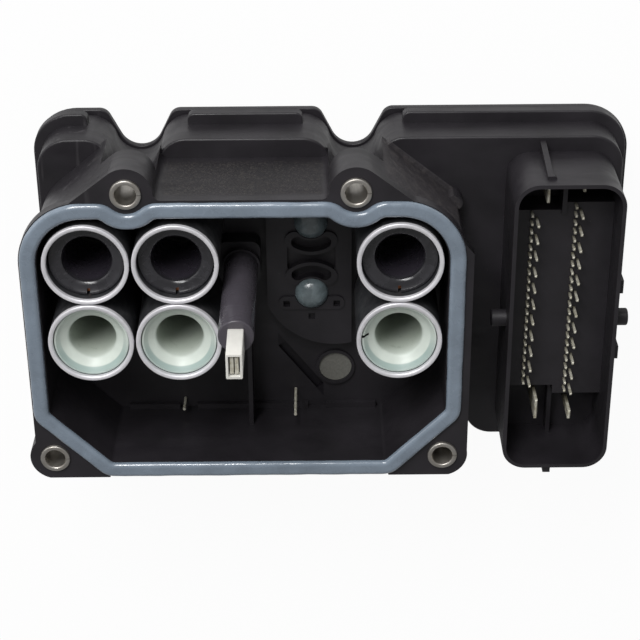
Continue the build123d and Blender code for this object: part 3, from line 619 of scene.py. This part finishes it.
class MODULE_OT_coils(bpy.types.Operator):
    """Six solenoid coils: steel cans, black and white spools, windings and yokes"""

    bl_idname = "module.coils"
    bl_label = "Coils"

    def execute(self, context):
        settings = context.scene.module_coils
        outer = settings.can / 2 / MM
        inner = outer - settings.wall / MM
        self.cans(outer, inner)
        wire = self.wire()
        rows = (
            ("black", 1, ROW_BLACK, settings.black_bore / MM, BLACK_FACE, self.black_spool,
             self.black_nylon(tuple(settings.black))),
            ("white", 4, ROW_WHITE, settings.white_bore / MM, WHITE_THROAT, self.white_spool,
             self.white_nylon(tuple(settings.white))),
        )
        for kind, first, y, bore, face, make, finish in rows:
            for number, x in enumerate(COLUMNS, first):
                spool = make((x, y), bore, inner - SPOOL_GAP)
                spool.name = "spool_%s_%d" % (kind, number)
                wear(spool, finish)
                place(spool, "bobbin_" + kind, "bobbin_%s_%d" % (kind, number))
                self.winding(number, (x, y), bore + SPOOL_TUBE, inner - WIRE_GAP, face - SPOOL_FLANGE, wire)
        yoke = plated("yoke_bare", (0.42, 0.41, 0.40), 0.45)
        for number in range(1, 2 * len(COLUMNS) + 1):
            wear(frame["nodes"]["coil_yoke_%d" % number], yoke)
        return {"FINISHED"}

    def cans(self, outer, inner):
        """Six open cans with a flat ground rim and eased edges."""
        base = RIM - CAN_LENGTH
        profile = [
            (inner, base), (outer, base), (outer, RIM - 0.22), (outer - 0.07, RIM - 0.07), (outer - 0.22, RIM),
            (inner + 0.30, RIM), (inner + 0.22, RIM - 0.08), (inner + 0.12, RIM - 0.12), (inner + 0.04, RIM - 0.2),
            (inner, RIM - 0.4)]
        spots = [(x, y) for y in (ROW_BLACK, ROW_WHITE) for x in COLUMNS]
        x, y = spots[0]
        can = smooth(turned("can", profile, spots[0], 128), 50)
        wear(can, self.can_steel())
        for number, piece in enumerate(copies(can, [(a - x, b - y) for a, b in spots[1:]]), 1):
            piece.name = "can_%d" % number
            place(piece, "coil_steel", "coil_can_%d" % number)

    def can_steel(self):
        """Bright ground rim over dark passivated sides."""
        f = Finish("can_zinc", (0.60, 0.59, 0.62), 0.42, metallic=0.45, Specular_IOR_Level=0.5)
        level = f.range(f.axis("Z"), (RIM - 1.35) * MM, (RIM - 1.05) * MM, 0.0, 1.0, True)
        cloud = f.noise(2.5, 4, 0.6)
        side = f.mix(f.range(cloud, 0.4, 0.7, 0.0, 1.0), (0.035, 0.036, 0.040), (0.070, 0.070, 0.074))
        ground = f.mix(f.range(cloud, 0.42, 0.75, 0.0, 0.5), (0.74, 0.73, 0.76), (0.56, 0.55, 0.57))
        f.colour(f.mix(level, side, ground))
        f.rough(f.range(f.noise(0.6, 3), 0.3, 0.7, 0.36, 0.50))
        f.bump(f.noise(0.5, 3), 0.012)
        return f.material

    def black_nylon(self, colour):
        """Black spool plastic with a polished throat, a bore painted a little lighter as painted light, and a few
        dust marks.
        """
        f = Finish("spool_black", colour, 0.30, Specular_IOR_Level=0.5)
        deep = f.range(f.axis("Z"), 42.0 * MM, 45.0 * MM, 1.0, 0.0, True)
        cloud = f.noise(4, 4)
        base = f.between(cloud, shade(colour, 0.8), shade(colour, 1.3))
        # painted light: the bore is painted a little lighter where the lamps reach too little
        base = f.mix(deep, base, (0.024, 0.021, 0.028))
        dust = f.times(f.specks(1.9, 0.06), f.range(f.noise(6, 2), 0.5, 0.6, 0.0, 0.4))
        rub = f.range(f.noise(1.1, 4, 0.65, stretch=(0.3, 1.0, 1.0), distortion=1.0), 0.62, 0.70, 0.0, 0.16)
        f.colour(f.mix(f.larger(dust, rub), base, (0.20, 0.20, 0.21)))
        f.rough(f.range(cloud, 0.35, 0.65, 0.18, 0.36))
        f.bump(cloud, 0.03)
        return f.material

    def white_nylon(self, colour):
        """White spool plastic, greener in its depths, with painted shade as a cyan-grey band round the lip,
        strongest on the low side, and the notch of the last spool painted nearly black as painted shade.
        """
        f = Finish("spool_white", colour, 0.40, Specular_IOR_Level=0.45)
        deep = f.range(f.axis("Z"), 40.0 * MM, 46.5 * MM, 1.0, 0.0, True)
        body = f.between(f.noise(5, 3), shade(colour, 0.95), shade(colour, 1.04))
        body = f.patch(deep, 0.75, (0.40, 0.44, 0.38), body)
        smudge = f.times(f.range(f.noise(2.2, 4, 0.65), 0.58, 0.7, 0.0, 0.35), deep)
        body = f.mix(smudge, body, (0.20, 0.23, 0.19))
        # painted shade: cyan-grey band round the lip, strongest on the low side
        painted_lip_shade = f.near(f.axis("Z"), 47.35, 0.55, 0.3)
        below = f.range(f.axis("Y"), (ROW_WHITE - 5.0) * MM, (ROW_WHITE + 2.0) * MM, 0.85, 0.15, True)
        body = f.patch(painted_lip_shade, below, (0.26, 0.345, 0.325), body)
        # painted shade: the notch of the last white spool is painted nearly black
        lead = f.zone(X=(NOTCH_SHADE[0], 0.92, 0.05), Y=(NOTCH_SHADE[1], 0.33, 0.05), Z=(47.0, 2.2, 0.1))
        f.colour(f.mix(lead, body, (0.010, 0.010, 0.010)))
        f.rough(f.range(f.noise(3, 3), 0.35, 0.65, 0.34, 0.46))
        f.bump(f.noise(2.0, 3), 0.015)
        return f.material

    def wire(self):
        """Enamelled copper wire in close rows, painted darker between the turns as painted shade."""
        f = Finish("enamelled_copper", (0.50, 0.17, 0.055), 0.28, metallic=0.85, Coat_Weight=0.5)
        wave = f.node("TexWave", {"Vector": f.coords, "Scale": WIRE_WAVES}, bands_direction="Z")
        # painted shade: dark bands between the turns of wire
        f.colour(f.mix(wave.outputs["Fac"], (0.10, 0.03, 0.012), (0.34, 0.12, 0.045)))
        f.bump(wave.outputs["Fac"], 0.15)
        return f.material

    def spool_body(self, bore, outer, top):
        """The profile's run from the bore's foot, around both flanges, to the upper flange at top."""
        base = RIM - CAN_LENGTH
        tube = bore + SPOOL_TUBE
        return [(bore, base + 0.2), (bore + 0.2, base), (outer, base), (outer, base + SPOOL_FLANGE),
                (tube, base + SPOOL_FLANGE), (tube, top - SPOOL_FLANGE), (outer, top - SPOOL_FLANGE)]

    def black_spool(self, spot, bore, outer):
        """A spool with a shallow dished face and a slot for the lead."""
        face = BLACK_FACE
        profile = self.spool_body(bore, outer, face) + [
            (outer, face - 0.15), (outer - 0.15, face), (outer - 0.75, face), (outer - 0.95, face - 0.12),
            (bore + 1.35, face - 0.55), (bore + 0.95, face - 0.50), (bore + 0.35, face - 0.75),
            (bore + 0.06, face - 1.05), (bore, face - 1.5)]
        spool = turned("spool", profile, spot, 96)
        x, y = spot
        slot = block("slot", (x - 0.42, y - 10.2, face - 2.5), (x + 0.42, y - 8.1, RIM))
        return smooth(combine(spool, slot, "DIFFERENCE"), 30)

    def white_spool(self, spot, bore, outer):
        """A spool with a deep funnel; the last one has a notch."""
        top, throat = WHITE_MOUTH, WHITE_THROAT
        profile = self.spool_body(bore, outer, throat) + [
            (outer, top - 0.15), (outer - 0.12, top), (outer - 0.48, top), (outer - 0.62, top - 0.12),
            (outer - 0.95, top - 0.75), (bore + 1.3, throat + 0.62), (bore + 0.62, throat + 0.22),
            (bore + 0.2, throat - 0.15), (bore + 0.03, throat - 0.6), (bore, throat - 1.0)]
        spool = turned("spool", profile, spot, 112)
        x, y = spot
        if x == COLUMNS[-1]:
            notch = block("notch", (x - 9.8, y + 0.6, RIM - 3.2), (x - 8.0, y + 1.2, RIM))
            combine(spool, notch, "DIFFERENCE")
        return smooth(spool, 35)

    def winding(self, number, spot, inner, outer, high, material):
        """Rows of wire between the spool's flanges."""
        low = RIM - CAN_LENGTH + SPOOL_FLANGE
        pitch = (high - low) / WIRE_TURNS
        profile = [(inner, low), (outer, low)]
        for i in range(WIRE_TURNS):
            z = low + i * pitch
            profile += [(outer - 0.12, z), (outer, z + pitch / 2)]
        profile += [(outer - 0.12, high), (inner, high)]
        coil = smooth(turned("winding_wire_%d" % number, profile, spot, 48), 60)
        wear(coil, material)
        place(coil, "copper_wire", "winding_%d" % number)


class MODULE_OT_limiters(bpy.types.Operator):
    """Rolled steel sleeves of the four screw holes"""

    bl_idname = "module.limiters"
    bl_label = "Screw sleeves"

    def execute(self, context):
        metal = plated("limiter_rolled", (0.44, 0.42, 0.39), 0.42)
        bore, outside, top = LIMITER_BORE, LIMITER_OUTSIDE, LIMITER_TOP
        base = top - LIMITER_LENGTH
        profile = [
            (bore, base), (outside, base), (outside, top - 0.30), (outside - 0.1, top - 0.1), (outside - 0.28, top),
            (bore + 0.33, top), (bore + 0.13, top - 0.1), (bore, top - 0.35)]
        parts = []
        for x, y in SCREWS:
            sleeve = turned("limiter", profile, (x, y), 64)
            seam = block("seam", (x + 2.0, y - 0.07, base - 1), (x + 5.0, y + 0.07, top + 1))
            parts.append(combine(sleeve, seam, "DIFFERENCE"))
        sleeves = join(parts, "limiter_sleeves")
        smooth(sleeves, 40)
        wear(sleeves, metal)
        place(sleeves, "limiter_steel", "limiters")
        return {"FINISHED"}


class MODULE_OT_motor(bpy.types.Operator):
    """White contact sleeve on the motor tower"""

    bl_idname = "module.motor"
    bl_label = "Contact sleeve"

    def execute(self, context):
        sleeve = copy_of("motor_contact_sleeve", "contact_sleeve")
        round_edges(sleeve, 0.12 * MM, 2, 40)
        smooth(sleeve, 40)
        wear(sleeve, plain("sleeve_white_nylon", (0.63, 0.62, 0.58), 0.42, size=3, spread=0.03))
        place(sleeve, "sleeve_white", "motor_contact_sleeve")
        return {"FINISHED"}


class MODULE_OT_contacts(bpy.types.Operator):
    """Tinned pins, blades and terminals"""

    bl_idname = "module.contacts"
    bl_label = "Pins and blades"

    def execute(self, context):
        tin = self.tin()
        for node in ("signal_pins_left", "signal_pins_right", "power_blades", "chamber_pins", "coil_terminals",
                     "motor_contact_left", "motor_contact_right"):
            wear(frame["nodes"][node], tin)
        return {"FINISHED"}

    def tin(self):
        """Dull tin, with painted shade darkening the roots of the socket's pins."""
        f = Finish("contact_tin", (0.66, 0.64, 0.56), 0.48, metallic=0.35, Specular_IOR_Level=0.8)
        cloud = f.noise(1.3, 4, 0.6)
        base = f.mix(f.range(cloud, 0.42, 0.72, 0.0, 0.8), (0.60, 0.58, 0.50), (0.26, 0.23, 0.13))
        # painted shade: the roots of the socket's pins are painted darker
        root = f.range(f.axis("Z"), 30.5 * MM, 33.6 * MM, 0.85, 0.0, True)
        root = f.times(root, f.zone(X=(85.0, 25.0, 1.0)))
        f.colour(f.mix(root, base, (0.075, 0.065, 0.035)))
        f.rough(f.range(f.noise(0.5, 3), 0.35, 0.65, 0.36, 0.55))
        f.bump(cloud, 0.02)
        return f.material


class MODULE_OT_trim(bpy.types.Operator):
    """Gel domes and vent film on the chamber floor"""

    bl_idname = "module.trim"
    bl_label = "Chamber trim"

    def execute(self, context):
        gel = plain("gel_clear", (0.118, 0.148, 0.158), 0.26, size=2.2, depth=0.22, spread=0.2, Coat_Weight=0.5)
        foot, radius, steps = DOME_FOOT, DOME_RADIUS, 12
        arc = []
        for i in range(steps):
            angle = math.pi / 2 * i / steps
            arc.append((radius * math.cos(angle), foot + DOME_HEIGHT * math.sin(angle)))
        axis = 0.0001             # a hair off the axis, so that no face folds on it
        profile = [(axis, foot - 1.0), (radius - 0.8, foot - 1.0), (radius - 0.8, foot)] + arc
        profile.append((axis, foot + DOME_HEIGHT))
        parts = [turned("gel", profile, spot, 64, closed=False) for spot in DOMES]
        domes = join(parts, "gel_caps")
        tidy(domes, 0.00002)
        smooth(domes, 40)
        wear(domes, gel)
        place(domes, "clear_gel", "gel_domes")
        cloth = plain("vent_cloth", (0.120, 0.118, 0.105), 0.80, size=0.6, depth=0.03)
        wear(frame["nodes"]["vent_membrane"], cloth)
        return {"FINISHED"}


class MODULE_OT_inside(bpy.types.Operator):
    """Board, components and seal inside the closed box"""

    bl_idname = "module.inside"
    bl_label = "Electronics"

    def execute(self, context):
        nodes = frame["nodes"]
        board = Finish("board_mask", (0.02, 0.12, 0.05), 0.35)
        tracks = board.node("TexBrick", {"Vector": board.coords, "Scale": 260.0, "Mortar Size": 0.03})
        board.colour(board.mix(tracks.outputs["Fac"], (0.018, 0.11, 0.045), (0.03, 0.17, 0.07)))
        board.bump(tracks.outputs["Fac"], 0.03)
        wear(nodes["circuit_board"], board.material)
        resin = plain("chip_resin_black", (0.03, 0.03, 0.03), 0.5)
        for node in ("microcontroller", "valve_driver", "sensor_amplifier", "motor_transistors"):
            wear(nodes[node], resin)
        can = plated("component_tin", (0.62, 0.62, 0.63), 0.35)
        for node in ("crystal", "storage_capacitors"):
            wear(nodes[node], can)
        wear(nodes["choke"], plain("ferrite_grey", (0.06, 0.06, 0.065), 0.6))
        wear(nodes["heat_spreader"], plated("spreader_alloy", (0.60, 0.60, 0.61), 0.4))
        wear(nodes["thermal_pad"], plain("pad_silicone_grey", (0.35, 0.38, 0.42), 0.6))
        wear(nodes["cover_seal"], plain("seal_black", (0.03, 0.03, 0.03), 0.55))
        return {"FINISHED"}


class MODULE_OT_stage(bpy.types.Operator):
    """Pale floor, soft studio light and the camera"""

    bl_idname = "module.stage"
    bl_label = "Stage"

    def execute(self, context):
        settings = context.scene.module_stage
        clear_selection()
        bpy.ops.mesh.primitive_plane_add(size=settings.floor, location=(0, 0, 0))
        floor = settle(bpy.context.object, "floor")
        wear(floor, self.floor_paint())
        self.world()
        self.lamps()
        self.camera(settings)
        context.scene.view_settings.view_transform = "Standard"
        return {"FINISHED"}

    def show_plain(self, tree, lit, plain_white, share, output):
        """Camera and glass rays see plain white by a share; all other rays see the lit surface."""
        path = tree.nodes.new("ShaderNodeLightPath")
        seen = tree.nodes.new("ShaderNodeMath")
        seen.operation = "MAXIMUM"
        tree.links.new(path.outputs["Is Camera Ray"], seen.inputs[0])
        tree.links.new(path.outputs["Is Transmission Ray"], seen.inputs[1])
        part = tree.nodes.new("ShaderNodeMath")
        part.operation = "MULTIPLY"
        part.inputs[1].default_value = share
        tree.links.new(seen.outputs[0], part.inputs[0])
        mix = tree.nodes.new("ShaderNodeMixShader")
        tree.links.new(part.outputs[0], mix.inputs[0])
        tree.links.new(lit.outputs[0], mix.inputs[1])
        tree.links.new(plain_white.outputs[0], mix.inputs[2])
        tree.links.new(mix.outputs[0], tree.nodes[output].inputs["Surface"])

    def floor_paint(self):
        paint = bpy.data.materials.new("floor_white")
        paint.use_nodes = True
        tree = paint.node_tree
        shader = tree.nodes["Principled BSDF"]
        shader.inputs["Base Color"].default_value = (0.80, 0.80, 0.80, 1)
        shader.inputs["Roughness"].default_value = 0.9
        shader.inputs["Specular IOR Level"].default_value = 0.1
        glow = tree.nodes.new("ShaderNodeEmission")
        glow.inputs["Strength"].default_value = 1.0
        self.show_plain(tree, shader, glow, FLOOR_GLOW, "Material Output")
        return paint

    def world(self):
        world = bpy.data.worlds.new("studio")
        bpy.context.scene.world = world
        world.use_nodes = True
        tree = world.node_tree
        light = tree.nodes["Background"]
        light.inputs["Color"].default_value = (1, 1, 1, 1)
        light.inputs["Strength"].default_value = SKY
        shown = tree.nodes.new("ShaderNodeBackground")
        shown.inputs["Strength"].default_value = 1.0
        self.show_plain(tree, light, shown, 1.0, "World Output")

    def lamps(self):
        for name, at, size, power in LAMPS:
            data = bpy.data.lights.new(name, "AREA")
            data.shape = "SQUARE"
            data.size = size
            data.energy = power
            lamp = bpy.data.objects.new(name, data)
            bpy.context.scene.collection.objects.link(lamp)
            lamp.location = at
            lamp.rotation_mode = "QUATERNION"
            lamp.rotation_quaternion = (Vector(LAMP_TARGET) - Vector(at)).to_track_quat("-Z", "Y")

    def camera(self, settings):
        data = bpy.data.cameras.new("camera")
        data.lens = settings.lens
        data.sensor_width = 36
        data.clip_start, data.clip_end = 0.01, 50
        camera = bpy.data.objects.new("camera", data)
        bpy.context.scene.collection.objects.link(camera)
        look = Vector(CAMERA_LOOK).normalized()
        up = Vector(CAMERA_RIGHT).normalized().cross(look).normalized()
        turn = Matrix((look.cross(up), up, -look)).transposed().to_4x4()
        camera.matrix_world = Matrix.Translation(CAMERA_AT) @ turn
        bpy.context.scene.camera = camera


class MODULE_PT_panel(bpy.types.Panel):
    """Lists the steps that build the module"""

    bl_idname = "MODULE_PT_panel"
    bl_label = "Brake module"
    bl_space_type = "VIEW_3D"
    bl_region_type = "UI"
    bl_category = "Brake module"

    def draw(self, context):
        for step in STEPS:
            self.layout.operator(step.bl_idname)
        for name in GROUPS:
            group = getattr(context.scene, name)
            for key in group.__annotations__:
                self.layout.prop(group, key)


STEPS = (
    MODULE_OT_stage, MODULE_OT_shell, MODULE_OT_gasket, MODULE_OT_coils, MODULE_OT_limiters,
    MODULE_OT_motor, MODULE_OT_contacts, MODULE_OT_trim, MODULE_OT_inside,
)
GROUPS = {
    "module_shell": ShellSettings, "module_coils": CoilSettings, "module_gasket": GasketSettings,
    "module_stage": StageSettings,
}


def register():
    for name, group in GROUPS.items():
        bpy.utils.register_class(group)
        setattr(bpy.types.Scene, name, bpy.props.PointerProperty(type=group))
    for step in STEPS:
        bpy.utils.register_class(step)
    bpy.utils.register_class(MODULE_PT_panel)


def unregister():
    bpy.utils.unregister_class(MODULE_PT_panel)
    for step in reversed(STEPS):
        bpy.utils.unregister_class(step)
    for name, group in reversed(GROUPS.items()):
        delattr(bpy.types.Scene, name)
        bpy.utils.unregister_class(group)


def main():
    register()
    for step in STEPS:
        getattr(bpy.ops.module, step.bl_idname.split(".")[1])()


if __name__ == "__main__":
    main()
